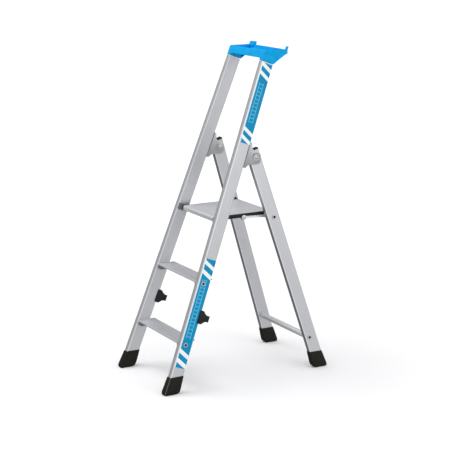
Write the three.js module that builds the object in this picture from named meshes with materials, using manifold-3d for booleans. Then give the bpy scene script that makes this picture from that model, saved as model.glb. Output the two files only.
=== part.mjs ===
// Folding step ladder: two treads and a folding platform between leaning box-section stiles,
// a rear frame hinged to the stiles, side links that lock the platform, and a tool tray on top.
// Millimetres, +Z up, +Y towards the rear frame, +X to the right-hand side of the drawing.
// The right-hand side is modelled once and mirrored for the left-hand side.
import * as THREE from 'three';
import { mergeVertices } from 'three/addons/utils/BufferGeometryUtils.js';
import Module from 'manifold-3d';

const wasm = await Module();
wasm.setup();

// ---------------------------------------------------------------- driving dimensions
const GAP = 0.3; // clearance between pieces that touch
const FLOOR_HALF_WIDTH = 220; // outer face of a stile at the floor
const LEAN = 3.03; // degrees that every rail leans inwards
const DEPTH_CENTRE = 391.3; // from the stile's front face at the floor to the middle of the ladder

const STILE = { angle: 69.44, width: 25, depth: 55.5, wall: 1.8, corner: 3.5, bottom: 27, top: 1422 };
const LEG = { angle: 72.19, width: 23, depth: 55.5, wall: 1.6, corner: 3, pivot: 31, above: 28, bottom: 8 };
const HINGE = { y: 458.5, z: 938.8, pin: 4, head: 8 };
const BRACKET = { sheet: 1.8, legGap: 1.6, top: 52, bottom: 57, ear: 24, boss: 17, rivets: [35, -43] };

const STEP_TOPS = [207.5, 451];
const TREAD = { depth: 79, skin: 2.5, lip: 7, setback: 2, endSetback: 3.5, ribs: 6, rib: 2 };
const PORT = { y: 22.4, drop: 9, outer: 8, bore: 7.4 }; // tube under each tread that takes the rivets
const SHOE = { thick: 18, front: 4, back: 36, top: 7.5, bottom: 25 };
const HOLLOW_RIVET = { flange: 9.5, rim: 1.5, barrel: 6.8, bore: 5.4, into: 8 };

const DECK = { front: 275, rear: 551, top: 700, half: 130, skin: 2.5, rib: 2, ribs: 7, drop: 16, nose: 20 };
const PIVOT = { y: 290, z: 688, pin: 4, barrel: 9 }; // platform on the stiles
const ELBOW = { y: 417.4, z: 683.94 }; // platform to side link
const ANCHOR = { y: 541, z: 680 }; // side link to rear leg
const CAP = { thick: 6, drop: 16, elbow: 11 };
const LINK = { layer: 137, thick: 4, height: 11, ring: 10, bore: 5 };

const BRACE = { y: 705, z: 138, radius: 12, wall: 1.6 };
const BUFFER = { y: 545, z: 701, radius: 4.5, reach: 9 };
const CLIP = { at: 348, side: 2.5, floor: 68, leg: 0.6, rivet: 62 };
const LABEL = { thick: 0.4, front: 3.5, back: 52, upper: [1079, 1420], lower: [125, 586] };

// ---------------------------------------------------------------- materials
const finish = (color, roughness, metalness) =>
  new THREE.MeshStandardMaterial({ color, roughness, metalness });
const aluminium = () => finish(0xc6c9cd, 0.4, 0.9);
const steel = () => finish(0xa4a8ab, 0.35, 0.9);
const blackPlastic = () => finish(0x232527, 0.5, 0);
const greyPlastic = () => finish(0x6f7577, 0.55, 0);
const rubber = () => finish(0x1e1e18, 0.8, 0);
const bluePlastic = () => finish(0x0ea0e0, 0.35, 0);
const labelFilm = () => finish(0x1291cc, 0.4, 0);

// ---------------------------------------------------------------- solid tools
function solid(geometry) {
  const bare = geometry.clone();
  bare.deleteAttribute('normal');
  bare.deleteAttribute('uv');
  const merged = mergeVertices(bare, 1e-3);
  return new wasm.Manifold(new wasm.Mesh({
    numProp: 3,
    vertProperties: merged.attributes.position.array,
    triVerts: new Uint32Array(merged.index.array),
  }));
}

function geometryOf(manifold) {
  const mesh = manifold.getMesh();
  const geometry = new THREE.BufferGeometry();
  geometry.setAttribute('position', new THREE.BufferAttribute(mesh.vertProperties, 3));
  geometry.setIndex(new THREE.BufferAttribute(mesh.triVerts, 1));
  geometry.computeVertexNormals();
  return geometry;
}

function cut(geometry, ...tools) {
  return geometryOf(tools.reduce((whole, tool) => whole.subtract(solid(tool)), solid(geometry)));
}

function join(geometry, ...others) {
  return geometryOf(others.reduce((whole, other) => whole.add(solid(other)), solid(geometry)));
}

// A box from its lowest to its highest corner.
function box(x0, y0, z0, x1, y1, z1) {
  const geometry = new THREE.BoxGeometry(x1 - x0, y1 - y0, z1 - z0);
  return geometry.translate((x0 + x1) / 2, (y0 + y1) / 2, (z0 + z1) / 2);
}

// A cylinder along X from x0 to x1.
function rod(radius, x0, x1, y, z, sides = 20) {
  const geometry = new THREE.CylinderGeometry(radius, radius, x1 - x0, sides);
  return geometry.rotateZ(Math.PI / 2).translate((x0 + x1) / 2, y, z);
}

// A cylinder along Y from y0 to y1.
function bolt(radius, y0, y1, x, z, sides = 16) {
  const geometry = new THREE.CylinderGeometry(radius, radius, y1 - y0, sides);
  return geometry.translate(x, (y0 + y1) / 2, z);
}

// A side profile, drawn as (y, z), stretched along X from x0 to x1.
function slab(shape, x0, x1, steps = 5) {
  const geometry = new THREE.ExtrudeGeometry(shape, {
    depth: x1 - x0, bevelEnabled: false, curveSegments: steps,
  });
  return geometry.applyMatrix4(new THREE.Matrix4().set(0, 0, 1, x0, 1, 0, 0, 0, 0, 1, 0, 0, 0, 0, 0, 1));
}

function outline(points) {
  return new THREE.Shape(points.map(([y, z]) => new THREE.Vector2(y, z)));
}

// A polygon whose corners are rounded: each point is [y, z, radius].
function rounded(points) {
  const shape = new THREE.Shape();
  points.forEach(([y, z, radius], i) => {
    const here = new THREE.Vector2(y, z);
    const before = new THREE.Vector2(...points.at(i - 1)).sub(here).setLength(radius).add(here);
    const after = new THREE.Vector2(...points[(i + 1) % points.length]).sub(here);
    after.setLength(radius).add(here);
    if (i === 0) shape.moveTo(before.x, before.y);
    else shape.lineTo(before.x, before.y);
    if (radius > 0) shape.quadraticCurveTo(here.x, here.y, after.x, after.y);
  });
  return shape;
}

function roundedRectangle(x0, y0, x1, y1, radius) {
  return rounded([[x0, y0, radius], [x1, y0, radius], [x1, y1, radius], [x0, y1, radius]]);
}

// Box-section tube along Z, centred on x = 0, its front face at y = front.
function boxTube({ width, depth, wall, corner }, front, z0, z1) {
  const shape = roundedRectangle(-width / 2, front, width / 2, front + depth, corner);
  const inside = roundedRectangle(
    -width / 2 + wall, front + wall, width / 2 - wall, front + depth - wall, corner - wall / 2,
  );
  shape.holes.push(inside);
  const geometry = new THREE.ExtrudeGeometry(shape, {
    depth: z1 - z0, bevelEnabled: false, curveSegments: 4,
  });
  return geometry.translate(0, 0, z0);
}

// A turned piece along X: the profile is a list of [x, radius] that closes on itself or on the axis.
function turned(profile, y, z, sides = 24) {
  const points = profile.map(([x, radius]) => new THREE.Vector2(radius, x));
  return new THREE.LatheGeometry(points, sides).rotateZ(-Math.PI / 2).translate(0, y, z);
}

// A closed skin through level rings that all have the same number of points, from the lowest up.
function loft(rings) {
  const count = rings[0].length;
  const positions = rings.flat().flatMap((p) => [p.x, p.y, p.z]);
  const index = [];
  for (let r = 0; r + 1 < rings.length; r += 1) {
    for (let i = 0; i < count; i += 1) {
      const a = r * count + i;
      const b = r * count + ((i + 1) % count);
      index.push(a, b, b + count, a, b + count, a + count);
    }
  }
  const last = (rings.length - 1) * count;
  for (let i = 1; i + 1 < count; i += 1) {
    index.push(0, i + 1, i);
    index.push(last, last + i, last + i + 1);
  }
  const geometry = new THREE.BufferGeometry();
  geometry.setAttribute('position', new THREE.Float32BufferAttribute(positions, 3));
  geometry.setIndex(index);
  return geometry.toNonIndexed();
}

// ---------------------------------------------------------------- frames
const ladder = new THREE.Group();
ladder.position.y = -DEPTH_CENTRE;

const radians = THREE.MathUtils.degToRad;
const stilePose = new THREE.Object3D(); // x across, y behind the front face, z along the stile
stilePose.position.x = FLOOR_HALF_WIDTH - STILE.width / 2;
stilePose.rotation.set(radians(STILE.angle - 90), radians(-LEAN), 0);
stilePose.updateMatrix();

// How far along the stile's own axis the point (y, z) of the side view lies.
function along({ y, z }) {
  return y * Math.cos(radians(STILE.angle)) + z * Math.sin(radians(STILE.angle));
}

// Across the ladder, the middle of the stile beside that point.
function stileCentre(point) {
  return stilePose.position.x - Math.sin(radians(LEAN)) * along(point);
}

const legPose = new THREE.Object3D(); // origin on the hinge pin, z up along the leg
legPose.position.set(stileCentre(HINGE), HINGE.y, HINGE.z);
legPose.rotation.set(radians(90 - LEG.angle), radians(-LEAN), 0);
legPose.updateMatrix();

// How far up the leg's own axis the point (y, z) lies: 0 at the hinge, negative below it.
function upLeg({ y, z }) {
  const angle = radians(LEG.angle);
  return (z - HINGE.z) * Math.sin(angle) - (y - HINGE.y) * Math.cos(angle);
}

function legCentre(point) {
  return legPose.position.x - Math.sin(radians(LEAN)) * upLeg(point);
}

// A tool drawn in the ladder's side coordinates, moved into a rail's own coordinates, or back.
const intoFrame = (pose, geometry) => geometry.applyMatrix4(pose.matrix.clone().invert());
const outOfFrame = (pose, geometry) => geometry.applyMatrix4(pose.matrix);

const sides = [['right', 1], ['left', -1]].map(([name, sign]) => {
  const plain = new THREE.Group();
  plain.scale.x = sign;
  const stile = new THREE.Group();
  stile.position.copy(stilePose.position);
  stile.rotation.copy(stilePose.rotation);
  const leg = new THREE.Group();
  leg.position.copy(legPose.position);
  leg.rotation.copy(legPose.rotation);
  plain.add(stile, leg);
  ladder.add(plain);
  return { name, plain, stile, leg };
});

// The same piece on both sides; frame is 'plain', 'stile' or 'leg'.
function pair(name, frame, geometry, material) {
  sides.forEach((side) => {
    const mesh = new THREE.Mesh(geometry, material());
    mesh.name = `${name}_${side.name}`;
    side[frame].add(mesh);
  });
}

function single(name, geometry, material) {
  const mesh = new THREE.Mesh(geometry, material());
  mesh.name = name;
  ladder.add(mesh);
}

// ---------------------------------------------------------------- places worked out from the above
// In the side view, the stile's front face crosses height z here.
const stileFront = (z) => z / Math.tan(radians(STILE.angle));
const legFront = (z) => {
  const slope = Math.tan(radians(LEG.angle));
  return HINGE.y + (HINGE.z - z) / slope - LEG.pivot / Math.sin(radians(LEG.angle));
};
const treads = STEP_TOPS.map((top) => {
  const front = stileFront(top) + TREAD.setback;
  return { top, front, port: { y: front + PORT.y, z: top - PORT.drop } };
});
const HINGE_ALONG = along(HINGE);
const HINGE_BEHIND = HINGE.y * Math.sin(radians(STILE.angle)) - HINGE.z * Math.cos(radians(STILE.angle));

// ---------------------------------------------------------------- stiles
const REACH = 40; // tools reach this far past the wall they cut

function stileGeometry() {
  const tube = boxTube(STILE, 0, STILE.bottom, STILE.top);
  const ports = treads.map(({ port }) => {
    const centre = stileCentre(port);
    return intoFrame(stilePose, rod(HOLLOW_RIVET.barrel + GAP, centre - REACH, centre + REACH, port.y, port.z));
  });
  const centre = stileCentre(PIVOT);
  const pivot = intoFrame(stilePose, rod(PIVOT.pin + GAP, centre - REACH, centre, PIVOT.y, PIVOT.z));
  const back = [...BRACKET.rivets.map((z) => HINGE_ALONG + z), CLIP.at]
    .map((z) => bolt(SMALL_RIVET.shank + GAP, STILE.depth - REACH / 2, STILE.depth + REACH, 0, z, 12));
  return cut(tube, ...ports, pivot, ...back);
}

const SMALL_RIVET = { shank: 2.4, head: 4.6, dome: 2, into: 5 };

// A domed blind rivet whose head sits at y and whose shank runs forward into the stile.
function blindRivet(y, z) {
  const shank = bolt(SMALL_RIVET.shank, y - SMALL_RIVET.into, y + 0.5, 0, 0, 12);
  const { head, dome } = SMALL_RIVET;
  const profile = [[0, 0], [head, 0], [head, dome * 0.4], [head * 0.6, dome], [0, dome]];
  const points = profile.map(([radius, height]) => new THREE.Vector2(radius, height));
  const cap = new THREE.LatheGeometry(points, 16).translate(0, y, 0);
  return join(shank, cap).translate(0, 0, z);
}

pair('stile', 'stile', stileGeometry(), aluminium);

// ---------------------------------------------------------------- feet
// A level ring of a shoe at height z, from its extents and corner radius.
function shoeRing(z, centre, half, y0, y1, radius) {
  const corners = [[1, 1, 0], [-1, 1, 1], [-1, -1, 2], [1, -1, 3]];
  const middle = (y0 + y1) / 2;
  return corners.flatMap(([sx, sy, quarter]) => [0, 1, 2, 3].map((step) => {
    const angle = (quarter + step / 3) * (Math.PI / 2);
    return new THREE.Vector3(
      centre + sx * (half - radius) + radius * Math.cos(angle),
      middle + sy * ((y1 - y0) / 2 - radius) + radius * Math.sin(angle),
      z,
    );
  }));
}

// Rubber shoe around the lower end of a rail: levels are [height, spread, front, back], where
// front and back are the shoe's ends in the side view.
function shoe(levels, railWidth, centreAt, hollow) {
  const rings = levels.map(([z, spread, front, back]) => (
    shoeRing(z, centreAt(z), railWidth / 2 + spread, front, back, 5)));
  return cut(loft(rings), hollow);
}

const SHOE_TOP = 72;
const SHOE_LEVELS = [[0, 1.5], [2.5, 4], [8, 5], [18, 5], [SHOE_TOP - 2, 2.6], [SHOE_TOP, 1.8]];
// How far the shoe stands out beyond the rail at each level: on the outer end of the ladder and on
// the side facing its middle.
const SHOE_OUTER = [-4, 3, 6, 6.5, 2.6, 1.8];
const SHOE_INNER = [-11, -1.5, 4, 5.5, 2.6, 1.8];
const STILE_RUN = STILE.depth / Math.sin(radians(STILE.angle));
const LEG_RUN = LEG.depth / Math.sin(radians(LEG.angle));

const leanAcross = Math.tan(radians(LEAN));
const frontShoe = shoe(
  SHOE_LEVELS.map(([z, spread], i) => [
    z, spread, stileFront(z) - SHOE_OUTER[i], stileFront(z) + STILE_RUN + SHOE_INNER[i],
  ]),
  STILE.width,
  (z) => stileCentre({ y: stileFront(z) + STILE_RUN / 2, z }),
  outOfFrame(stilePose, box(
    -STILE.width / 2 - GAP, -GAP, STILE.bottom - GAP, STILE.width / 2 + GAP, STILE.depth + GAP, 200,
  )),
);
pair('front_foot', 'plain', frontShoe, rubber);

const rearShoe = shoe(
  SHOE_LEVELS.map(([z, spread], i) => [
    z, spread, legFront(z) - SHOE_INNER[i], legFront(z) + LEG_RUN + SHOE_OUTER[i],
  ]),
  LEG.width,
  (z) => legCentre({ y: legFront(z) + LEG_RUN / 2, z }),
  outOfFrame(legPose, box(
    -LEG.width / 2 - GAP, -LEG.pivot - GAP, upLeg({ y: legFront(0), z: LEG.bottom }) - GAP,
    LEG.width / 2 + GAP, LEG.depth - LEG.pivot + GAP, -600,
  )),
);
pair('rear_foot', 'plain', rearShoe, rubber);

// ---------------------------------------------------------------- hollow rivets
// A flared hollow rivet along X: its flange on the outer face, its blind bore open to the outside.
function hollowRivet(outer, inner, y, z) {
  const { flange, rim, barrel, bore } = HOLLOW_RIVET;
  const face = outer + GAP + flange * leanAcross;
  return turned([
    [inner, 0], [inner, barrel], [face, barrel], [face, flange], [face + rim * 0.5, flange],
    [face + rim, flange - 1], [face + rim, bore + 0.8], [face + rim * 0.4, bore], [inner + 2, bore],
    [inner + 2, 0],
  ], y, z);
}

// ---------------------------------------------------------------- treads
// Everything beyond a stile's inner face, from `from` to `to` behind the stile's front face.
function beyondStile(inset, from, to) {
  const block = box(-STILE.width / 2 - inset, from, 0, 200, to, STILE.top);
  return outOfFrame(stilePose, block);
}

function mirrored(geometry) {
  return geometryOf(solid(geometry).mirror([1, 0, 0]));
}

// Underside of an extruded plank: points along z = bottom with ribs standing down to z = ribFoot.
function ribbedUnderside(y0, y1, bottom, ribFoot, count, rib) {
  const pitch = (y1 - y0) / (count + 1);
  return Array.from({ length: count }, (_, i) => y1 - pitch * (i + 1)).flatMap((y) => [
    [y + rib / 2, bottom], [y + rib / 2, ribFoot], [y - rib / 2, ribFoot], [y - rib / 2, bottom],
  ]);
}

function treadGeometry({ top, front, port }) {
  const back = front + TREAD.depth;
  const under = top - TREAD.skin;
  const lip = top - TREAD.lip;
  const shape = outline([
    [front + 2.5, top], [front + 0.6, top - 0.9], [front, top - 2.8], [front, lip + 1],
    [front + 1, lip], [front + 2.6, lip], [front + 2.6, under],
    ...ribbedUnderside(front, back, under, lip + 1, TREAD.ribs, TREAD.rib).reverse(),
    [back - 2.6, under], [back - 2.6, lip], [back - 1, lip], [back, lip + 1], [back, top - 2.8],
    [back - 0.6, top - 0.9], [back - 2.5, top],
  ]);
  const plank = slab(shape, -FLOOR_HALF_WIDTH, FLOOR_HALF_WIDTH);
  const tube = rod(PORT.outer, -FLOOR_HALF_WIDTH, FLOOR_HALF_WIDTH, port.y, port.z);
  const bore = rod(PORT.bore, -FLOOR_HALF_WIDTH, FLOOR_HALF_WIDTH, port.y, port.z);
  const ends = [beyondStile(GAP, -20, 100), beyondStile(TREAD.endSetback, STILE.depth - 1, 100)];
  return cut(join(plank, tube), bore, ...ends, ...ends.map(mirrored));
}

function shoePlate({ top, front, port }) {
  const inner = stileCentre(port) - STILE.width / 2;
  const block = slab(rounded([
    [front + SHOE.front, top - SHOE.top, 1], [front + SHOE.front, top - SHOE.bottom, 3],
    [front + SHOE.back - 8, top - SHOE.bottom, 5], [front + SHOE.back, top - SHOE.top, 2],
  ]), inner - SHOE.thick, inner + 10);
  return cut(
    block,
    rod(PORT.outer + GAP, inner - REACH, inner + REACH, port.y, port.z),
    beyondStile(GAP, -20, 100),
  );
}

treads.forEach((tread, i) => {
  const number = i + 1;
  const inner = stileCentre(tread.port) - STILE.width / 2;
  single(`step_${number}`, treadGeometry(tread), aluminium);
  pair(`step_shoe_${number}`, 'plain', shoePlate(tread), greyPlastic);
  const rivet = hollowRivet(inner + STILE.width, inner - HOLLOW_RIVET.into, tread.port.y, tread.port.z);
  pair(`step_rivet_${number}`, 'plain', rivet, aluminium);
});

// ---------------------------------------------------------------- rear frame
function legGeometry() {
  const low = upLeg({ y: legFront(LEG.bottom), z: LEG.bottom });
  const tube = boxTube(LEG, -LEG.pivot, low, LEG.above);
  const centre = legCentre(HINGE);
  const holes = [
    [HINGE, HINGE.pin, centre], [ANCHOR, HOLLOW_RIVET.barrel, legCentre(ANCHOR)],
    [BRACE, HOLLOW_RIVET.barrel, legCentre(BRACE)],
  ].map(([{ y, z }, radius, middle]) => (
    intoFrame(legPose, rod(radius + GAP, middle - REACH, middle + REACH, y, z))));
  return cut(tube, ...holes);
}
pair('rear_leg', 'leg', legGeometry(), aluminium);

function legPlug() {
  const { width, depth, pivot, wall, corner, above } = LEG;
  const half = width / 2;
  const skirt = roundedRectangle(
    -half + wall + GAP, wall + GAP - pivot, half - wall - GAP, depth - wall - GAP - pivot, corner - wall,
  );
  const clear = 9; // the lid stops short of the bracket's base
  const lid = roundedRectangle(-half, clear - pivot, half, depth - pivot, corner);
  const raise = (shape, z0, z1, bevel) => new THREE.ExtrudeGeometry(shape, {
    depth: z1 - z0, bevelEnabled: bevel > 0, bevelSize: bevel, bevelThickness: bevel, bevelOffset: -bevel,
    bevelSegments: 2, curveSegments: 3,
  }).translate(0, 0, z0);
  return join(raise(lid, above + GAP + 1.6, above + 4.2, 1.6), raise(skirt, above - 14, above + 2.5, 0));
}
pair('leg_plug', 'leg', legPlug(), blackPlastic);

// The brace is cut to the lean of the legs' inner faces.
const pastLeg = outOfFrame(legPose, box(-LEG.width / 2 - GAP, -200, -1000, 200, 200, 0));
const braceLength = legCentre(BRACE) + 20;
const braceTube = cut(
  rod(BRACE.radius, -braceLength, braceLength, BRACE.y, BRACE.z, 28),
  rod(BRACE.radius - BRACE.wall, -braceLength - 1, braceLength + 1, BRACE.y, BRACE.z, 28),
  pastLeg,
  mirrored(pastLeg),
);
single('rear_brace', braceTube, aluminium);

const braceFace = legCentre(BRACE);
pair('brace_rivet', 'plain', hollowRivet(
  braceFace + LEG.width / 2, braceFace - LEG.width / 2 - HOLLOW_RIVET.into, BRACE.y, BRACE.z,
), aluminium);

// Link rivet: hollow rivet through the leg, with a shoulder that keeps the link off the leg.
const anchorFace = legCentre(ANCHOR);
const linkOuter = LINK.layer + LINK.thick;
const shoulderEnd = anchorFace - LEG.width / 2 - GAP - 9 * leanAcross;
const linkRivet = join(
  hollowRivet(anchorFace + LEG.width / 2, LINK.layer + GAP + 6, ANCHOR.y, ANCHOR.z),
  rod(8.8, linkOuter + GAP, shoulderEnd, ANCHOR.y, ANCHOR.z, 24),
  rod(LINK.bore - GAP, LINK.layer + GAP, linkOuter + 4, ANCHOR.y, ANCHOR.z, 20),
);
pair('link_rivet', 'plain', linkRivet, aluminium);

const bufferFace = legCentre(BUFFER) - LEG.width / 2 - GAP - BUFFER.radius * leanAcross;
pair('leg_buffer', 'plain', turned([
  [bufferFace - BUFFER.reach, 0], [bufferFace - BUFFER.reach, BUFFER.radius - 1.5],
  [bufferFace - BUFFER.reach + 1.5, BUFFER.radius], [bufferFace, BUFFER.radius], [bufferFace, 0],
], BUFFER.y, BUFFER.z, 16), rubber);

// ---------------------------------------------------------------- hinge brackets and pins
const BRACKET_HALF = LEG.width / 2 + BRACKET.legGap + BRACKET.sheet;
const BRACKET_BACK = STILE.depth + GAP;

function bracketGeometry() {
  const mid = HINGE_ALONG;
  const back = HINGE_BEHIND;
  const shape = new THREE.Shape();
  shape.moveTo(BRACKET_BACK, mid - BRACKET.bottom);
  shape.lineTo(BRACKET_BACK + 8, mid - BRACKET.bottom + 1);
  shape.lineTo(BRACKET_BACK + 18, mid - 41);
  shape.lineTo(back + 15, mid - 25);
  shape.quadraticCurveTo(back + 29, mid - 19, back + BRACKET.ear + 1, mid - 4);
  shape.absarc(back, mid, BRACKET.ear, 0, radians(105), false);
  shape.lineTo(BRACKET_BACK + 17, mid + 27);
  shape.lineTo(BRACKET_BACK + 7, mid + BRACKET.top);
  shape.lineTo(BRACKET_BACK, mid + BRACKET.top);
  const whole = join(
    slab(shape, -BRACKET_HALF, BRACKET_HALF, 8),
    rod(BRACKET.boss, -BRACKET_HALF - 1, BRACKET_HALF + 1, back, mid, 28),
  );
  const channel = BRACKET_HALF - BRACKET.sheet;
  const slot = box(-channel, BRACKET_BACK + BRACKET.sheet, 0, channel, 400, STILE.top + 200);
  const rivets = BRACKET.rivets.map((z) => bolt(SMALL_RIVET.shank + GAP, 0, 100, 0, mid + z, 12));
  const pin = intoFrame(stilePose, rod(HINGE.pin + GAP, 0, 300, HINGE.y, HINGE.z));
  return cut(whole, slot, ...rivets, pin);
}
pair('hinge_bracket', 'stile', bracketGeometry(), steel);

const hingeHead = BRACKET_HALF + 1 + GAP + HINGE.head * leanAcross;
function hingePin() {
  const { pin, head } = HINGE;
  const centre = legPose.position.x;
  const out = centre + hingeHead;
  const back = centre - hingeHead;
  return turned([
    [back - 2.6, 0], [back - 2.6, head - 3.5], [back - 1.2, head - 0.6], [back, head], [back, pin],
    [out, pin], [out, head], [out + 1.2, head - 0.6], [out + 2.6, head - 3.5], [out + 2.6, 0],
  ], HINGE.y, HINGE.z);
}
pair('hinge_pin', 'plain', hingePin(), steel);

['upper', 'lower'].forEach((name, i) => {
  const rivet = blindRivet(BRACKET_BACK + BRACKET.sheet + GAP, HINGE_ALONG + BRACKET.rivets[i]);
  pair(`bracket_rivet_${name}`, 'stile', rivet, steel);
});

// ---------------------------------------------------------------- storage clips
function clipGeometry() {
  const at = CLIP.at;
  const shape = rounded([
    [46, at - 27, 3], [56, at - 30, 5], [68, at - 29, 4], [77, at - 18, 6], [87, at - 15, 4],
    [98, at - 15, 2.5], [98, at + 11.5, 2.5], [86, at + 11, 5], [74, at + 16, 6], [67, at + 26, 4],
    [51, at + 28, 2.5], [46, at + 24, 2.5],
  ]);
  const half = STILE.width / 2 + GAP + CLIP.side;
  const slot = LEG.width / 2 + CLIP.leg;
  const inside = STILE.width / 2 + GAP;
  return cut(
    slab(shape, -half, half, 3),
    box(-inside, 0, 0, inside + GAP + LABEL.thick, STILE.depth + GAP, STILE.top),
    box(-slot, CLIP.floor, 0, slot, 200, STILE.top),
    bolt(SMALL_RIVET.shank + GAP, 0, 200, 0, at, 12),
    bolt(SMALL_RIVET.head + 0.6, CLIP.rivet, 200, 0, at, 16),
  );
}
pair('storage_clip', 'stile', clipGeometry(), blackPlastic);

function clipRivet() {
  const head = blindRivet(CLIP.rivet + GAP, CLIP.at);
  return join(head, bolt(SMALL_RIVET.shank, STILE.depth - 5, CLIP.rivet + 0.5, 0, CLIP.at, 12));
}
pair('clip_rivet', 'stile', clipRivet(), steel);

// ---------------------------------------------------------------- platform
function deckGeometry() {
  const { front, rear, top, skin, ribs, rib, drop, nose } = DECK;
  const under = top - skin;
  const foot = top - drop;
  const low = top - nose;
  const hollow = 22; // depth of the closed box along the front edge
  const shape = new THREE.Shape();
  shape.moveTo(front, low + 3);
  shape.absarc(front + 3, low + 3, 3, Math.PI, 1.5 * Math.PI, false);
  shape.lineTo(front + hollow, low);
  shape.lineTo(front + hollow, under);
  ribbedUnderside(front + hollow, rear, under, foot, ribs, rib).reverse()
    .forEach(([y, z]) => shape.lineTo(y, z));
  shape.lineTo(rear - rib, under);
  shape.lineTo(rear - rib, foot);
  shape.lineTo(rear, foot);
  shape.lineTo(rear, top - 3);
  shape.absarc(rear - 3, top - 3, 3, 0, Math.PI / 2, false);
  shape.lineTo(front + 8, top);
  shape.absarc(front + 8, top - 8, 8, Math.PI / 2, Math.PI, false);
  shape.lineTo(front, top - 11);
  shape.lineTo(front + 1.2, top - 11.6);
  shape.lineTo(front + 1.2, top - 12.6);
  shape.lineTo(front, top - 13.2);
  shape.holes.push(roundedRectangle(front + 3, low + 2.5, front + hollow - 2.5, top - 3.5, 3));
  return slab(shape, -DECK.half, DECK.half, 6);
}
single('platform_deck', deckGeometry(), aluminium);

function capGeometry() {
  const { front, rear, top } = DECK;
  const low = top - CAP.drop;
  const inner = DECK.half + GAP;
  const body = slab(rounded([
    [front, top - 0.5, 7], [front, top - DECK.nose, 4], [PIVOT.y + 14, top - DECK.nose, 3],
    [PIVOT.y + 20, low, 3], [rear, low, 3], [rear, top - 0.5, 3],
  ]), inner, inner + CAP.thick, 4);
  const elbow = rod(CAP.elbow, inner, inner + CAP.thick, ELBOW.y, ELBOW.z, 28);
  return cut(join(body, elbow), rod(PIVOT.pin + GAP, 0, 300, PIVOT.y, PIVOT.z));
}
pair('deck_end_cap', 'plain', capGeometry(), blackPlastic);

function platformBracket() {
  const inner = -STILE.width / 2 - GAP;
  const mid = along(PIVOT);
  const shape = rounded([[3, mid - 13, 4], [49, mid - 13, 6], [49, mid + 15, 6], [3, mid + 15, 4]]);
  const hole = intoFrame(stilePose, rod(PIVOT.pin + GAP, 0, 300, PIVOT.y, PIVOT.z));
  return cut(slab(shape, inner - 4, inner, 4), hole);
}
pair('platform_bracket', 'stile', platformBracket(), greyPlastic);

function pivotBarrel() {
  const start = DECK.half + CAP.thick + 2 * GAP;
  const stop = stileCentre(PIVOT) - STILE.width / 2 - 4 - 2 * GAP - PIVOT.barrel * leanAcross;
  const { pin, barrel } = PIVOT;
  return turned([
    [DECK.half + 2 * GAP, 0], [DECK.half + 2 * GAP, pin], [start, pin], [start, barrel], [stop, barrel],
    [stop, pin], [stop + 9, pin], [stop + 9, 0],
  ], PIVOT.y, PIVOT.z);
}
pair('platform_pivot', 'plain', pivotBarrel(), blackPlastic);

// ---------------------------------------------------------------- side links
function linkGeometry() {
  const reach = Math.hypot(ANCHOR.y - ELBOW.y, ANCHOR.z - ELBOW.z);
  const half = LINK.height / 2;
  const { ring, bore } = LINK;
  const turn = Math.asin(half / ring);
  const shape = new THREE.Shape();
  shape.absarc(0, 0, ring, turn, 2 * Math.PI - turn, false);
  shape.absarc(reach, 0, ring, Math.PI + turn, 3 * Math.PI - turn, false);
  [0, reach].forEach((y) => shape.holes.push(new THREE.Path().absarc(y, 0, bore, 0, 2 * Math.PI, true)));
  const slope = Math.atan2(ANCHOR.z - ELBOW.z, ANCHOR.y - ELBOW.y);
  return slab(shape, LINK.layer, LINK.layer + LINK.thick, 10)
    .rotateX(slope).translate(0, ELBOW.y, ELBOW.z);
}
pair('side_link', 'plain', linkGeometry(), aluminium);

const elbowHead = linkOuter + GAP;
pair('link_elbow_pin', 'plain', turned([
  [LINK.layer + GAP, 0], [LINK.layer + GAP, LINK.bore - GAP], [elbowHead, LINK.bore - GAP],
  [elbowHead, 7.5], [elbowHead + 1, 7.5], [elbowHead + 1.8, 6], [elbowHead + 1.8, 0],
], ELBOW.y, ELBOW.z), steel);

// ---------------------------------------------------------------- tool tray
const TRAY = {
  half: 144.6, inner: 119.5, wall: 3, floor: 1347, front: 1460, skirt: 1430, rear: 618, rim: 1369,
  hornTop: 1382, hornBack: 626, plug: 25,
};

// The point at distance `up` along the stile and `behind` its front face, in the side view.
function sidePoint(up, behind) {
  const angle = radians(STILE.angle);
  return [
    up * Math.cos(angle) + behind * Math.sin(angle), up * Math.sin(angle) - behind * Math.cos(angle),
  ];
}

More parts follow.
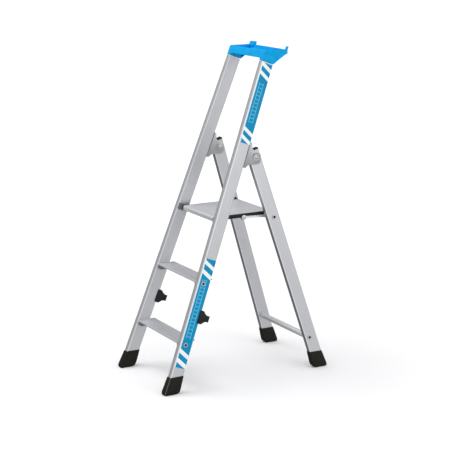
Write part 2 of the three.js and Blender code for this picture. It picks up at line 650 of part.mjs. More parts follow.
function trayGeometry() {
  const { half, inner, wall, floor, front, skirt, rear, rim, plug } = TRAY;
  const seat = STILE.top + GAP;
  const [topY, topZ] = sidePoint(front, 0);
  const [skirtY, skirtZ] = sidePoint(skirt, 0);
  const [heelY, heelZ] = sidePoint(seat, STILE.depth + 1.5);
  const dip = 7; // the end walls sag this far below the rim
  const bowl = slab(rounded([
    [skirtY, skirtZ, 2], [rear - 8, floor + 2.5, 3], [rear, floor + 5, 3], [rear + 2, rim, 2],
    [topY + 1, rim, 5],
  ]), -half + 1, half - 1, 3);
  const endShape = new THREE.Shape();
  endShape.moveTo(...sidePoint(seat, 0));
  endShape.lineTo(heelY, heelZ);
  endShape.lineTo(rear - 6, floor + 3);
  endShape.lineTo(rear + 3, floor + 5);
  endShape.lineTo(rear + 2.5, rim - 3);
  endShape.lineTo(rear, rim - 1);
  endShape.lineTo(rear - 6, rim - 1);
  endShape.quadraticCurveTo((rear + topY) / 2 + 15, rim - 2 * dip, topY + 22, rim - 0.5);
  endShape.quadraticCurveTo(topY + 2, rim + 1, topY - 1.4, topZ - 6);
  const end = slab(endShape, inner, half, 8);
  const cavity = slab(rounded([
    [topY + wall - 6, floor + wall, 3], [rear - 9, floor + wall + 2, 5], [rear - 1, rim + 40, 1],
    [topY + wall + 15.5, rim + 40, 1],
  ]), -half + wall, half - wall, 3);
  // Under the bowl each end block is hollow, apart from its outer wall and the seat on the stile.
  const relief = slab(rounded([
    [heelY + 2, heelZ + 6, 1], [rear - 10, floor + 0.6, 2], [heelY + 2, floor - 0.6, 1],
  ]), inner - 1, half - wall, 3);
  const [gapY0, gapZ0] = sidePoint(skirt, 4);
  const hollow = slab(rounded([
    [gapY0, gapZ0 - 30, 0.5], [rear + 20, gapZ0 - 30, 0.5], [rear + 20, floor, 0.5],
    [gapY0 + 2, floor, 0.5],
  ]), -inner, inner, 2);
  const fit = STILE.wall + GAP;
  const insert = outOfFrame(stilePose, new THREE.ExtrudeGeometry(
    roundedRectangle(-STILE.width / 2 + fit, fit, STILE.width / 2 - fit, STILE.depth - fit, 4),
    { depth: plug + 6, bevelEnabled: false, curveSegments: 3 },
  ).translate(0, 0, STILE.top - plug));
  const outerFace = outOfFrame(stilePose, box(STILE.width / 2 + 0.2, -60, STILE.top, 100, 300, STILE.top + 34));
  const block = cut(end, relief, outerFace);
  return join(
    cut(join(bowl, block, mirrored(block)), cavity, hollow), insert, mirrored(insert),
    lug(-half + 0.5, -half + 35.5), lug(half - 6, half - 0.5),
  );
}

// Raised lug on the rear rim, between x0 and x1.
function lug(x0, x1) {
  const { rear, rim, hornTop, hornBack } = TRAY;
  return slab(rounded([
    [rear - 8, rim - 4, 0.5], [rear + 2.2, rim - 8, 0.5], [hornBack, hornTop, 1.5], [hornBack - 10, hornTop, 1.5],
  ]), x0, x1, 3);
}
single('tool_tray', trayGeometry(), bluePlastic);

// ---------------------------------------------------------------- labels
function labelGeometry([low, high]) {
  const outer = STILE.width / 2 + GAP;
  const plate = box(outer, LABEL.front, low, outer + LABEL.thick, LABEL.back, high);
  const holes = treads.map(({ port }) => {
    const centre = stileCentre(port);
    return intoFrame(stilePose, rod(HOLLOW_RIVET.flange + GAP, centre, centre + REACH, port.y, port.z, 24));
  });
  return cut(plate, ...holes);
}
pair('label_upper', 'stile', labelGeometry(LABEL.upper), labelFilm);
pair('label_lower', 'stile', labelGeometry(LABEL.lower), labelFilm);

export default ladder;
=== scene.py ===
from math import cos, pi, radians, sin, tan

import bmesh
import bpy
from mathutils import Matrix, Vector


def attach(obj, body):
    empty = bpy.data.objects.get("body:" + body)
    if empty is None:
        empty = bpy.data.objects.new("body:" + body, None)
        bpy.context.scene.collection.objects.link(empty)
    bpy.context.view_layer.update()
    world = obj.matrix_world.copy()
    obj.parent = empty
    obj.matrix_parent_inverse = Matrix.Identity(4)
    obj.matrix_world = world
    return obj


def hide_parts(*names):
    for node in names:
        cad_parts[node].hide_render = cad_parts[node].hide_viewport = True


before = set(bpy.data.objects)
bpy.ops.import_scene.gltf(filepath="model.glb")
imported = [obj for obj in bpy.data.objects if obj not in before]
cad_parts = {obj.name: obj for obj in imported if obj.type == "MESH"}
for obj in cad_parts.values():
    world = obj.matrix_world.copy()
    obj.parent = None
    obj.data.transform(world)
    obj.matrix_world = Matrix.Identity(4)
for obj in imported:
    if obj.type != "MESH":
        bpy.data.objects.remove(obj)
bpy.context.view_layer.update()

# Folding step ladder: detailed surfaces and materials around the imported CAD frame.
# Shapes are drawn in millimetres in the ladder's side view (y = 0 where a stile's front face
# meets the floor) or in a rail's own coordinates, and LADDER takes them to the frame's metres.

# ---------------------------------------------------------------- driving dimensions (mm, degrees)
MM = 0.001
DEPTH_CENTRE = 391.3  # from a stile's front edge on the floor to the middle of the open footprint
GAP = 0.3  # between neighbouring pieces
LEAN = 3.03  # of the rails towards the middle
STILE = {"angle": 69.44, "width": 25, "depth": 55.5, "wall": 1.8, "corner": 3.5, "low": 27, "high": 1422}
LEG = {"angle": 72.19, "width": 23, "depth": 55.5, "wall": 1.6, "corner": 3, "front": -31, "high": 28}
STILE_CENTRE = 207.5  # on the floor, from the middle of the ladder
HINGE = (458.5, 938.8)  # (y, z) of axes in the side view, as for the points below
STEP_TOPS = (207.5, 451)
TREAD = {"setback": 2, "depth": 79, "skin": 2.5, "lip": 7, "port": (22.4, -9), "tube": 8, "bore": 7.4}
DECK = {"front": 275, "rear": 551, "top": 700, "half": 130}
PIVOT = (290, 688)
ANCHOR = (541, 680)  # the side link's rivet in the rear leg
BRACE = (705, 138)
CLIP_AT = 348  # along the stile
RIVET_HOLE = 7.1  # radii
PIN_HOLE = 4.3
SCREW_HOLE = 2.7
BRACKET = {"sheet": 1.8, "leg_gap": 1.6, "boss_rise": 1, "rivets": (35, -43)}
FOOT_CORNER = {"low": (222.8, -1.6, 8), "high": (216.8, 24.9, 70)}  # front outer edge, right-hand foot, where a pale highlight is painted
LABEL = {"upper": (1079, 1418), "lower": (125, 586)}  # ends, along the stile
TRAY = {
    "half": 144.6, "inner": 119.5, "wall": 3, "floor": 1347, "front": 1460, "skirt": 1430, "rear": 618,
    "rim": 1369, "hook": 626, "hook_top": 1382,
}
SIDES = (("right", 1), ("left", -1))

LADDER = Matrix.Scale(MM, 4) @ Matrix.Translation((0, -DEPTH_CENTRE, 0))


def along(y, z):
    """Distance along a stile's own axis of a point of the side view."""
    return y * cos(radians(STILE["angle"])) + z * sin(radians(STILE["angle"]))


def stile_centre(y, z):
    return STILE_CENTRE - sin(radians(LEAN)) * along(y, z)


INWARD = Matrix.Rotation(radians(-LEAN), 4, "Y")
STILE_TILT = Matrix.Rotation(radians(STILE["angle"] - 90), 4, "X") @ INWARD
LEG_TILT = Matrix.Rotation(radians(90 - LEG["angle"]), 4, "X") @ INWARD
STILE_POSE = Matrix.Translation((STILE_CENTRE, 0, 0)) @ STILE_TILT
LEG_POSE = Matrix.Translation((stile_centre(*HINGE), *HINGE)) @ LEG_TILT
HINGE_ALONG = along(*HINGE)


def mirror(sign):
    return Matrix.Diagonal((sign, 1, 1, 1))


def up_leg(y, z):
    """Distance up a rear leg's own axis, 0 at the hinge."""
    angle = radians(LEG["angle"])
    return (z - HINGE[1]) * sin(angle) - (y - HINGE[0]) * cos(angle)


def leg_centre(y, z):
    return stile_centre(*HINGE) - sin(radians(LEAN)) * up_leg(y, z)


def stile_front(z):
    return z / tan(radians(STILE["angle"]))


def leg_front(z):
    angle = radians(LEG["angle"])
    return HINGE[0] + (HINGE[1] - z) / tan(angle) + LEG["front"] / sin(angle)


def side_point(up, behind):
    """Side-view point at a distance along the stile and behind its front face."""
    angle = radians(STILE["angle"])
    return up * cos(angle) + behind * sin(angle), up * sin(angle) - behind * cos(angle)


# ---------------------------------------------------------------- node helpers
def add_node(tree, kind, inputs=None, **settings):
    made = tree.nodes.new(kind)
    for key, value in settings.items():
        setattr(made, key, value)
    for key, value in (inputs or {}).items():
        if isinstance(value, bpy.types.NodeSocket):
            tree.links.new(value, made.inputs[key])
        else:
            made.inputs[key].default_value = value
    return made


def maths(tree, operation, first, second=0.0, third=0.0):
    made = add_node(tree, "ShaderNodeMath", {0: first, 1: second, 2: third}, operation=operation)
    return made.outputs[0]


def vector_maths(tree, operation, first, second=(0, 0, 0), output=0):
    made = add_node(tree, "ShaderNodeVectorMath", {0: first, 1: second}, operation=operation)
    return made.outputs[output]


def spread(tree, value, low, high, start=0.3, end=0.7):
    """value between start and end becomes low to high."""
    return add_node(tree, "ShaderNodeMapRange", {
        "Value": value, "From Min": start, "From Max": end, "To Min": low, "To Max": high,
    }).outputs["Result"]


def noise(tree, vector, scale, detail=2.0, roughness=0.5):
    return add_node(tree, "ShaderNodeTexNoise", {
        "Vector": vector, "Scale": scale, "Detail": detail, "Roughness": roughness,
    }).outputs["Fac"]


def mix_colour(tree, factor, first, second, blend="MIX"):
    made = add_node(tree, "ShaderNodeMix", data_type="RGBA", blend_type=blend)
    for socket, value in ((made.inputs[0], factor), (made.inputs[6], first), (made.inputs[7], second)):
        if isinstance(value, bpy.types.NodeSocket):
            tree.links.new(value, socket)
        else:
            socket.default_value = value
    return made.outputs[2]


def tint(colour, factor):
    return tuple(min(1.0, c * factor) for c in colour[:3]) + (1.0,)


def new_material(name):
    material = bpy.data.materials.new(name)
    material.use_nodes = True
    tree = material.node_tree
    shader = tree.nodes["Principled BSDF"]
    return material, tree, shader


def local_coordinates(tree, rotation=(0, 0, 0), origin=(0, 0, 0)):
    """The piece's own coordinates, moved to origin and turned so that Z runs along its length."""
    place = add_node(tree, "ShaderNodeTexCoord").outputs["Object"]
    shifted = vector_maths(tree, "SUBTRACT", place, origin)
    turned = add_node(tree, "ShaderNodeMapping", {"Vector": shifted, "Rotation": rotation})
    return turned.outputs["Vector"]


def stretched(tree, vector, factors):
    return vector_maths(tree, "MULTIPLY", vector, factors)


def bump(tree, shader, height, strength, distance):
    settings = {"Height": height, "Strength": strength, "Distance": distance}
    made = add_node(tree, "ShaderNodeBump", settings)
    tree.links.new(made.outputs["Normal"], shader.inputs["Normal"])


# ---------------------------------------------------------------- materials
PAINTED_EDGE_HIGHLIGHT = (1.7, 5.2)  # the painted highlight line, in millimetres behind a rail's front face
NARROW_FACE = (-1, 1.2)  # the front face itself, darkened as painted shade


def drawn_metal(name, colour, roughness, rotation=(0, 0, 0), metallic=0.9, origin=(0, 0, 0), painted_light=None):
    """Extruded metal: die lines along the local Z axis and slow clouds.

    painted_light, for a rail, holds its front face's place and how much painted shade darkens that face; a
    painted highlight line is drawn just behind it.
    """
    material, tree, shader = new_material(name)
    local = local_coordinates(tree, rotation, origin)
    grain, stretch = 0.07, (1, 1, 0.006)
    lines = noise(tree, stretched(tree, local, stretch), 1400, 3, 0.6)
    broad = noise(tree, stretched(tree, local, (1, 1, 0.02)), 160, 2)
    clouds = noise(tree, local, 9, 3)
    first = mix_colour(tree, spread(tree, lines, 0, 1), tint(colour, 1 - grain), tint(colour, 1 + grain))
    second = mix_colour(tree, spread(tree, broad, 0, 1), tint(colour, 0.95), tint(colour, 1.05))
    both = mix_colour(tree, 0.5, first, second)
    clouds_and_painted_light = mix_colour(tree, spread(tree, clouds, 0.0, 0.35), both, tint(colour, 0.88))
    if painted_light:
        parts = add_node(tree, "ShaderNodeSeparateXYZ", {"Vector": local})
        # painted light on a rail: a lighter strip as the painted highlight of its front corner, and the
        # front face blended towards black as painted shade
        strips = ((PAINTED_EDGE_HIGHLIGHT, 0.75, tint(colour, 1.45)), (NARROW_FACE, painted_light["shade"], (0, 0, 0, 1)))
        for edges, amount, strip_colour in strips:
            low, high = ((painted_light["front"] + edge) * MM for edge in edges)
            strip = maths(tree, "MULTIPLY", between(tree, parts.outputs["Y"], low, high), amount)
            clouds_and_painted_light = mix_colour(tree, strip, clouds_and_painted_light, strip_colour)
    tree.links.new(clouds_and_painted_light, shader.inputs["Base Color"])
    broad_gloss = spread(tree, clouds, roughness - 0.03, roughness + 0.05)
    uneven = maths(tree, "ADD", spread(tree, lines, -0.06, 0.06), broad_gloss)
    tree.links.new(uneven, shader.inputs["Roughness"])
    shader.inputs["Metallic"].default_value = metallic
    bump(tree, shader, lines, 0.25, 0.00008)
    return material


def pressed_metal(name, colour, roughness, metallic=0.9):
    """Sheet metal with a fine grain, faint spangle and small scuffs."""
    material, tree, shader = new_material(name)
    local = local_coordinates(tree)
    grain = noise(tree, local, 2200, 2)
    flakes = add_node(tree, "ShaderNodeTexVoronoi", {"Vector": local, "Scale": 420}).outputs["Color"]
    flake = add_node(tree, "ShaderNodeSeparateColor", {"Color": flakes}).outputs[0]
    scuffs = noise(tree, stretched(tree, local, (1, 0.2, 1)), 260, 4, 0.7)
    shade = mix_colour(tree, flake, tint(colour, 0.94), tint(colour, 1.06))
    scuffed = mix_colour(tree, spread(tree, scuffs, 0, 0.6, 0.6, 0.75), shade, tint(colour, 1.2))
    tree.links.new(scuffed, shader.inputs["Base Color"])
    tree.links.new(spread(tree, grain, roughness - 0.07, roughness + 0.07), shader.inputs["Roughness"])
    shader.inputs["Metallic"].default_value = metallic
    bump(tree, shader, grain, 0.2, 0.00006)
    return material


DUST = (0.32, 0.31, 0.28, 1)
# colour of the painted highlight along the front feet's front outer edge
PAINTED_FOOT_HIGHLIGHT = (0.13, 0.13, 0.11, 1)


def moulded(name, colour, roughness, texture=1800, depth=0.00012, dust=0.0, specular=0.5, corner=None):
    """Moulded plastic or rubber: a fine spark-eroded grain, slow tone changes and pale dust.

    corner, a point and a direction in millimetres, marks an edge along which a pale highlight is painted.
    """
    material, tree, shader = new_material(name)
    local = local_coordinates(tree)
    grain = noise(tree, local, texture, 3, 0.6)
    slow = noise(tree, local, 45, 3)
    shade = mix_colour(tree, spread(tree, slow, 0, 1), tint(colour, 0.88), tint(colour, 1.12))
    speckle_dust_and_painted_highlight = mix_colour(tree, spread(tree, grain, 0, 0.5), shade, tint(colour, 1.25))
    if dust:
        patches = noise(tree, local, 120, 5, 0.7)
        amount = spread(tree, patches, 0, dust, 0.5, 0.72)
        speckle_dust_and_painted_highlight = mix_colour(tree, amount, speckle_dust_and_painted_highlight, DUST)
    if corner:
        point, direction = (Vector(v) for v in corner)
        beside = local_coordinates(tree, origin=point * MM)
        offset = vector_maths(tree, "CROSS_PRODUCT", beside, direction.normalized())
        away = vector_maths(tree, "LENGTH", offset, output="Value")
        # painted highlight: a pale line along the corner edge
        speckle_dust_and_painted_highlight = mix_colour(tree, spread(tree, away, 0.8, 0, 0.0011, 0.0021), speckle_dust_and_painted_highlight, PAINTED_FOOT_HIGHLIGHT)
    tree.links.new(speckle_dust_and_painted_highlight, shader.inputs["Base Color"])
    slow_gloss = spread(tree, slow, roughness - 0.04, roughness + 0.04)
    mixed = maths(tree, "ADD", spread(tree, grain, -0.05, 0.05), slow_gloss)
    tree.links.new(mixed, shader.inputs["Roughness"])
    shader.inputs["Specular IOR Level"].default_value = specular
    bump(tree, shader, grain, 0.35, depth)
    return material


BLUE = (0.001, 0.355, 0.74, 1)
LABEL_BLUE = (0.002, 0.275, 0.53, 1)
LABEL_WHITE = (0.93, 0.97, 0.98, 1)
LABEL_PALE = (0.16, 0.56, 0.78, 1)
LADDER_SIGN = {"left": 16.5, "right": 38.5, "bar": 2.5, "pitch": 16.0}
LABEL_EDGE = 6.8  # the print starts this far behind the stile's front face
STRIPE_SLOPE = -0.475  # a stripe drops this far along the rail per millimetre towards the rear
STRIPES = {  # distance along the rail of each stripe's front lower corner, and its width
    "upper": ((1405, 15.5), (1370.5, 15.5), (1132, 15.2), (1098, 15.4)),
    "lower": ((563.5, 15.8), (524, 17.5), (187, 17.5), (147.3, 18)),
}


def between(tree, value, low, high):
    """1 where value lies from low to high, else 0."""
    return maths(tree, "COMPARE", value, (low + high) / 2, (high - low) / 2)


def label_film(name, sign, stripes, ladder_span):
    """Printed film in a stile's coordinates: white stripes at both ends and a pale ladder sign on blue."""
    material, tree, shader = new_material(name)
    turn = (radians(90 - STILE["angle"]), sign * radians(LEAN), 0)
    local = local_coordinates(tree, turn, (sign * STILE_CENTRE * MM, -DEPTH_CENTRE * MM, 0))
    parts = add_node(tree, "ShaderNodeSeparateXYZ", {"Vector": local})
    behind = maths(tree, "MULTIPLY", parts.outputs["Y"], 1000.0)
    up = maths(tree, "MULTIPLY", parts.outputs["Z"], 1000.0)
    slanted = maths(tree, "MULTIPLY_ADD", behind, -STRIPE_SLOPE, up)
    white = between(tree, behind, 0, LABEL_EDGE)
    for start, width in stripes:
        lowest = start - LABEL_EDGE * STRIPE_SLOPE
        white = maths(tree, "MAXIMUM", white, between(tree, slanted, lowest, lowest + width))
    low, high = ladder_span
    left, right, bar, pitch = (LADDER_SIGN[k] for k in ("left", "right", "bar", "pitch"))
    rails = maths(
        tree, "MAXIMUM", between(tree, behind, left, left + bar), between(tree, behind, right - bar, right))
    rungs = maths(tree, "LESS_THAN", maths(tree, "MODULO", up, pitch), bar)
    rungs = maths(tree, "MULTIPLY", rungs, between(tree, behind, left, right))
    drawn = maths(tree, "MAXIMUM", rails, rungs)
    sign_mark = maths(tree, "MULTIPLY", drawn, between(tree, up, low, high))
    fibre = noise(tree, local, 900, 3)
    slow = noise(tree, local, 30, 2)
    ground = mix_colour(tree, spread(tree, slow, 0, 1), tint(LABEL_BLUE, 0.93), tint(LABEL_BLUE, 1.07))
    ground = mix_colour(tree, sign_mark, ground, LABEL_PALE)
    print_ = mix_colour(tree, white, ground, LABEL_WHITE)
    tree.links.new(print_, shader.inputs["Base Color"])
    tree.links.new(spread(tree, fibre, 0.34, 0.44), shader.inputs["Roughness"])
    shader.inputs["Specular IOR Level"].default_value = 0.15
    bump(tree, shader, fibre, 0.12, 0.00005)
    return material


ALUMINIUM = (0.63, 0.64, 0.665, 1)


def rail_metal(name, tilt_angle, sign, origin, painted_light):
    origin = (sign * origin[0] * MM, (origin[1] - DEPTH_CENTRE) * MM, origin[2] * MM)
    turn = (radians(tilt_angle), sign * radians(LEAN), 0)
    return drawn_metal(name, ALUMINIUM, 0.42, turn, 0.85, origin, painted_light)


# each rail gets painted shade on its front face, much stronger on the rear legs, and a painted highlight
# line beside it
stile_metal = {
    s: rail_metal(
        f"anodised_stile_{s}", 90 - STILE["angle"], sign, (STILE_CENTRE, 0, 0),
        {"front": 0, "shade": 0.05})
    for s, sign in SIDES
}
leg_metal = {
    s: rail_metal(
        f"anodised_leg_{s}", LEG["angle"] - 90, sign, (stile_centre(*HINGE), *HINGE),
        {"front": LEG["front"], "shade": 0.35})
    for s, sign in SIDES
}
cross_turn = (0, radians(90), 0)  # brings the ladder's X axis onto the grain axis
tread_metal = drawn_metal("anodised_tread", (0.68, 0.69, 0.72, 1), 0.42, cross_turn, metallic=0.7)
# the deck's aluminium is a lighter copy of the treads', painted light for the brighter-lit platform top
deck_metal = drawn_metal("anodised_deck", (0.75, 0.76, 0.78, 1), 0.38, cross_turn, metallic=0.6)
brace_metal = drawn_metal("anodised_brace", (0.72, 0.73, 0.75, 1), 0.4, cross_turn, metallic=0.7)
link_metal = pressed_metal("bright_link", (0.86, 0.86, 0.87, 1), 0.35, 0.6)
bracket_metal = pressed_metal("zinc_bracket", (0.44, 0.455, 0.465, 1), 0.42)
# near-black bottoms of the rivet bores: painted shade
painted_bore_shade = moulded("bore_shadow", (0.003, 0.003, 0.003, 1), 0.9, specular=0.0)
rivet_metal = pressed_metal("rivet_metal", (0.6, 0.61, 0.62, 1), 0.38)
grey_plastic = moulded("grey_moulding", (0.16, 0.17, 0.18, 1), 0.5)
black_plastic = moulded("black_moulding", (0.008, 0.009, 0.01, 1), 0.5, dust=0.03, specular=0.25)
RUBBER = {
    "colour": (0.0055, 0.006, 0.0035, 1), "roughness": 0.55, "texture": 1100, "depth": 0.0002, "dust": 0.03,
    "specular": 0.2,
}
foot_rubber = moulded("foot_rubber", **RUBBER)
front_foot_rubber = {}
for s, sign in SIDES:
    low, high = (Vector((sign * x, y - DEPTH_CENTRE, z)) for x, y, z in FOOT_CORNER.values())
    front_foot_rubber[s] = moulded(f"front_foot_rubber_{s}", corner=(low, high - low), **RUBBER)
blue_plastic = moulded("blue_moulding", BLUE, 0.45, texture=1500, depth=0.0001, specular=0.1)
label_materials = {
    (part, s): label_film(f"label_{part}_{s}", sign, STRIPES[part], span)
    for part, span in (("upper", (1168, 1336)), ("lower", (250, 500))) for s, sign in SIDES
}


# ---------------------------------------------------------------- mesh helpers
def piece(name, bm, where, material, body, replaced=(), bevel=0.0, segments=2):
    """Turns a bmesh drawn in millimetres into a piece that rides on a body."""
    bm.transform(where)
    bmesh.ops.recalc_face_normals(bm, faces=bm.faces)
    mesh = bpy.data.meshes.new(name)
    bm.to_mesh(mesh)
    bm.free()
    mesh.materials.append(material)
    made = bpy.data.objects.new(name, mesh)
    bpy.context.scene.collection.objects.link(made)
    mesh.polygons.foreach_set("use_smooth", [True] * len(mesh.polygons))
    mesh.set_sharp_from_angle(angle=radians(32))
    if bevel:
        soften(made, bevel, segments)
    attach(made, body)
    if replaced:
        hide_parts(*replaced)
    return made


def soften(obj, width, segments=2, angle=32):
    rounding = obj.modifiers.new("edges", "BEVEL")
    rounding.width = width * MM
    rounding.segments = segments
    rounding.limit_method = "ANGLE"
    rounding.angle_limit = radians(angle)
    rounding.harden_normals = True
    rounding.use_clamp_overlap = True


def finish_node(node, material, bevel=0.3, segments=2, angle=32):
    """A CAD node keeps its mesh, and gets rounded edges and its material."""
    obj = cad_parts[node]
    obj.data.materials.clear()
    obj.data.materials.append(material)
    obj.data.polygons.foreach_set("use_smooth", [True] * len(obj.data.polygons))
    merge = obj.modifiers.new("merge", "WELD")
    merge.merge_threshold = 0.00001
    flat = obj.modifiers.new("flat", "DECIMATE")
    flat.decimate_type = "DISSOLVE"
    flat.angle_limit = radians(1.5)
    soften(obj, bevel, segments, angle)


def arc(cy, cz, radius, start, end, steps=6):
    return [
        (cy + radius * cos(radians(start + (end - start) * i / steps)),
         cz + radius * sin(radians(start + (end - start) * i / steps)))
        for i in range(steps + 1)
    ]


def prism(bm, outline, low_x, high_x):
    """A closed side-view outline stretched across X; low_x and high_x give each end's x at (y, z)."""
    low = [bm.verts.new((low_x(y, z), y, z)) for y, z in outline]
    high = [bm.verts.new((high_x(y, z), y, z)) for y, z in outline]
    bm.faces.new(low)
    bm.faces.new(high[::-1])
    for i in range(len(outline)):
        bm.faces.new((low[i - 1], low[i], high[i], high[i - 1]))


def rod(bm, radius, x0, x1, y, z, sides=32):
    turn = Matrix.Translation(((x0 + x1) / 2, y, z)) @ Matrix.Rotation(pi / 2, 4, "Y")
    bmesh.ops.create_cone(
        bm, cap_ends=True, segments=sides, radius1=radius, radius2=radius, depth=x1 - x0, matrix=turn)


def bolt(bm, radius, y0, y1, x, z, sides=20):
    turn = Matrix.Translation((x, (y0 + y1) / 2, z)) @ Matrix.Rotation(pi / 2, 4, "X")
    bmesh.ops.create_cone(
        bm, cap_ends=True, segments=sides, radius1=radius, radius2=radius, depth=y1 - y0, matrix=turn)


def carve(obj, cutter, operation="DIFFERENCE"):
    """Cuts the cutter, a bmesh in metres, out of an object that has no modifiers yet."""
    mesh = bpy.data.meshes.new("cutter")
    bmesh.ops.recalc_face_normals(cutter, faces=cutter.faces)
    cutter.to_mesh(mesh)
    cutter.free()
    tool = bpy.data.objects.new("cutter", mesh)
    bpy.context.scene.collection.objects.link(tool)
    cut = obj.modifiers.new("cut", "BOOLEAN")
    cut.object = tool
    cut.operation = operation
    cut.solver = "EXACT"
    bpy.context.view_layer.update()
    made = bpy.data.meshes.new_from_object(obj.evaluated_get(bpy.context.evaluated_depsgraph_get()))
    old = obj.data
    obj.data = made
    obj.modifiers.remove(cut)
    bpy.data.meshes.remove(old)
    bpy.data.objects.remove(tool)
    bpy.data.meshes.remove(mesh)
    obj.data.polygons.foreach_set("use_smooth", [True] * len(obj.data.polygons))
    obj.data.set_sharp_from_angle(angle=radians(32))


# ---------------------------------------------------------------- rails
def rail_section(width, depth, radius, front, edge, recess):
    """Rounded rectangle whose wide faces are a little recessed between two edge beads."""
    half = width / 2
    back = front + depth
    points = arc(half - radius, front + radius, radius, -90, 0, 5)
    points += [(half, front + edge), (half - recess, front + edge + recess)]
    points += [(half - recess, back - edge - recess), (half, back - edge)]
    points += arc(half - radius, back - radius, radius, 0, 90, 5)
    points += arc(-half + radius, back - radius, radius, 90, 180, 5)
    points += [(-half, back - edge), (-half + recess, back - edge - recess)]
    points += [(-half + recess, front + edge + recess), (-half, front + edge)]
    points += arc(-half + radius, front + radius, radius, 180, 270, 5)
    return points


def rail(bm, dims, front, low, high):
    wall = dims["wall"]
    outer = rail_section(dims["width"], dims["depth"], dims["corner"], front, 4.2, 0.35)
    width, depth = dims["width"] - 2 * wall, dims["depth"] - 2 * wall
    inner = rail_section(width, depth, dims["corner"] - wall / 2, front + wall, 3.5, 0)
    rings = [[bm.verts.new((x, d, z)) for x, d in loop] for loop in (outer, inner) for z in (low, high)]
    outer_low, outer_high, inner_low, inner_high = rings
    for i in range(len(outer)):
        bm.faces.new((outer_low[i - 1], outer_low[i], outer_high[i], outer_high[i - 1]))
        bm.faces.new((inner_low[i], inner_low[i - 1], inner_high[i - 1], inner_high[i]))
        bm.faces.new((outer_low[i], outer_low[i - 1], inner_low[i - 1], inner_low[i]))
        bm.faces.new((outer_high[i - 1], outer_high[i], inner_high[i], inner_high[i - 1]))


def drill(holes, back_holes, pose, sign):
    """Cutters: holes across X in the side view, and back_holes along a rail's own Y, as (radius, up)."""
    bm = bmesh.new()
    for radius, x0, x1, y, z in holes:
        rod(bm, radius, x0, x1, y, z)
    bm.transform(LADDER @ mirror(sign))
    backs = bmesh.new()
    for radius, z in back_holes:
        bolt(backs, radius, STILE["depth"] - 20, STILE["depth"] + 40, 0, z)
    backs.transform(LADDER @ mirror(sign) @ pose)
    mesh = bpy.data.meshes.new("backs")
    backs.to_mesh(mesh)
    backs.free()
    bm.from_mesh(mesh)
    bpy.data.meshes.remove(mesh)
    return bm


def tread_port(top):
    return stile_front(top) + TREAD["setback"] + TREAD["port"][0], top + TREAD["port"][1]


leg_low = up_leg(leg_front(8), 8)
for s, sign in SIDES:
    bm = bmesh.new()
    rail(bm, STILE, 0, STILE["low"], STILE["high"])
    obj = piece(
        f"stile_extrusion_{s}", bm, LADDER @ mirror(sign) @ STILE_POSE, stile_metal[s], "front_frame",
        [f"stile_{s}"])
    holes = []
    for top in STEP_TOPS:
        y, z = tread_port(top)
        centre = stile_centre(y, z)
        holes.append((RIVET_HOLE, centre - 40, centre + 40, y, z))
    holes.append((PIN_HOLE, stile_centre(*PIVOT) - 40, stile_centre(*PIVOT), *PIVOT))
    backs = [(SCREW_HOLE, HINGE_ALONG + up) for up in BRACKET["rivets"]] + [(SCREW_HOLE, CLIP_AT)]
    carve(obj, drill(holes, backs, STILE_POSE, sign))

    bm = bmesh.new()
    rail(bm, LEG, LEG["front"], leg_low, LEG["high"])
    obj = piece(
        f"rear_leg_extrusion_{s}", bm, LADDER @ mirror(sign) @ LEG_POSE, leg_metal[s], "rear_frame",
        [f"rear_leg_{s}"])
    holes = [
        (radius, leg_centre(*at) - 40, leg_centre(*at) + 40, *at)
        for radius, at in ((PIN_HOLE, HINGE), (RIVET_HOLE, ANCHOR), (RIVET_HOLE, BRACE))
    ]
    carve(obj, drill(holes, [], LEG_POSE, sign))


# ---------------------------------------------------------------- treads and platform
def grooves(start, end, top, pitch, width, depth):
    """Points of a flat surface from start to end at height top, with shallow grooves across it."""
    count = int(abs(end - start) / pitch)
    step = (end - start) / count
    half = width / 2 if end > start else -width / 2
    points = []
    for i in range(count):
        middle = start + step * (i + 0.5)
        points += [(middle - half, top), (middle - half * 0.6, top - depth)]
        points += [(middle + half * 0.6, top - depth), (middle + half, top)]
    return points


def inner_face(y, z):
    """Across the ladder, the inner face of the right stile beside a point of the side view."""
    normal = STILE_TILT.to_3x3() @ Vector((1, 0, 0))
    point = STILE_POSE @ Vector((-STILE["width"] / 2 - GAP, 0, 0))
    return (normal.dot(point) - normal.y * y - normal.z * z) / normal.x


def underside(y0, y1, bottom, foot, count, rib):
    """Points from y0 to y1 (falling) along a plank's underside, with ribs standing down."""
    pitch = (y0 - y1) / (count + 1)
    points = []
    for i in range(count):
        y = y0 - pitch * (i + 1)
        start, end = y + rib / 2, y - rib / 2
        points += [(start, bottom), (start, foot), (end, foot), (end, bottom)]
    return points


for number, top in enumerate(STEP_TOPS, 1):
    front = stile_front(top) + TREAD["setback"]
    back = front + TREAD["depth"]
    lip = top - TREAD["lip"]
    under = top - TREAD["skin"]
    outline = [(front + 2.6, under), (front + 2.6, lip), (front + 0.8, lip), (front, lip + 0.8)]
    outline += arc(front + 2.6, top - 2.6, 2.6, 180, 90, 5)
    outline += grooves(front + 4.5, back - 4.5, top, 3.4, 1.5, 0.7)
    outline += arc(back - 2.6, top - 2.6, 2.6, 90, 0, 5)
    outline += [(back, lip + 0.8), (back - 0.8, lip), (back - 2.6, lip), (back - 2.6, under)]
    outline += underside(back, front, under, lip + 1, 6, 2)
    bm = bmesh.new()
    prism(bm, outline, lambda y, z: -inner_face(y, z), inner_face)
    obj = piece(
        f"tread_{number}", bm, LADDER, tread_metal, "front_frame", [f"step_{number}"])
    port_y, port_z = tread_port(top)
    reach = inner_face(port_y, port_z)
    bm = bmesh.new()
    rod(bm, TREAD["tube"], -reach + 0.2, reach - 0.2, port_y, port_z - 0.01, 28)
    bm.transform(LADDER)
    carve(obj, bm, "UNION")
    bm = bmesh.new()
    rod(bm, TREAD["bore"], -reach - 30, reach + 30, port_y, port_z, 28)
    bm.transform(LADDER)
    carve(obj, bm)

